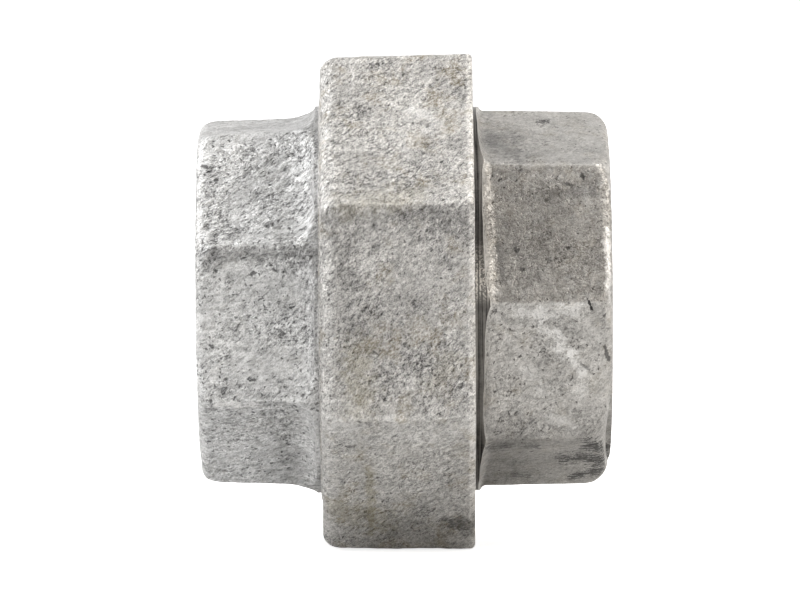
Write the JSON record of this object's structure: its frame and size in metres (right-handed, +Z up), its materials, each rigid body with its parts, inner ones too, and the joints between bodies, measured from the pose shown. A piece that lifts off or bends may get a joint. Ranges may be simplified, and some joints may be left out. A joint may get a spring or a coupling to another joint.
{
  "type": "pipe union",
  "caption": "Galvanised iron pipe union: two octagonal female-threaded ends drawn together by an octagonal screwed nut over a flat gasket seat.",
  "frame": {"origin": "on the pipe axis, midway between the two end faces", "axes": "+X along the pipe axis towards the threaded end's mouth, +Z up through the middle of one of the nut's eight flats, +Y away from a viewer who sees the tail end on the left"},
  "size_m": [0.078, 0.0934, 0.0934],
  "materials": {
    "galvanised_casting": "hot-dip galvanised sand casting, satin zinc with fine pits",
    "galvanised_nut": "hot-dip galvanised sand casting, coarser grain with faint brown stains",
    "gasket_fibre": "pressed fibre sheet with rubber binder, matte"
  },
  "bodies": {
    "threaded_end": {"threaded_end": "galvanised_casting"},
    "tail_end": {"tail_end": "galvanised_casting"},
    "union_nut": {"union_nut": "galvanised_nut"},
    "seat_gasket": {"seat_gasket": "gasket_fibre"}
  },
  "joints": [
    {"name": "tail_draw", "type": "slide", "parent": "threaded_end", "child": "tail_end", "axis": [-1, 0, 0], "range_m": [0, 0.01675]},
    {"name": "nut_turn", "type": "hinge", "parent": "tail_end", "child": "union_nut", "pos_m": [-0.001, 0, 0], "axis": [-1, 0, 0], "range_deg": [0, 2610]},
    {"name": "gasket_float", "type": "slide", "parent": "threaded_end", "child": "seat_gasket", "axis": [-1, 0, 0], "range_m": [0, 0.0084]}
  ],
  "couplings": [
    {"joint": "tail_draw", "follows": "nut_turn", "m_per_rad": 0.00036749},
    {"joint": "gasket_float", "follows": "nut_turn", "m_per_rad": 0.00018374}
  ]
}
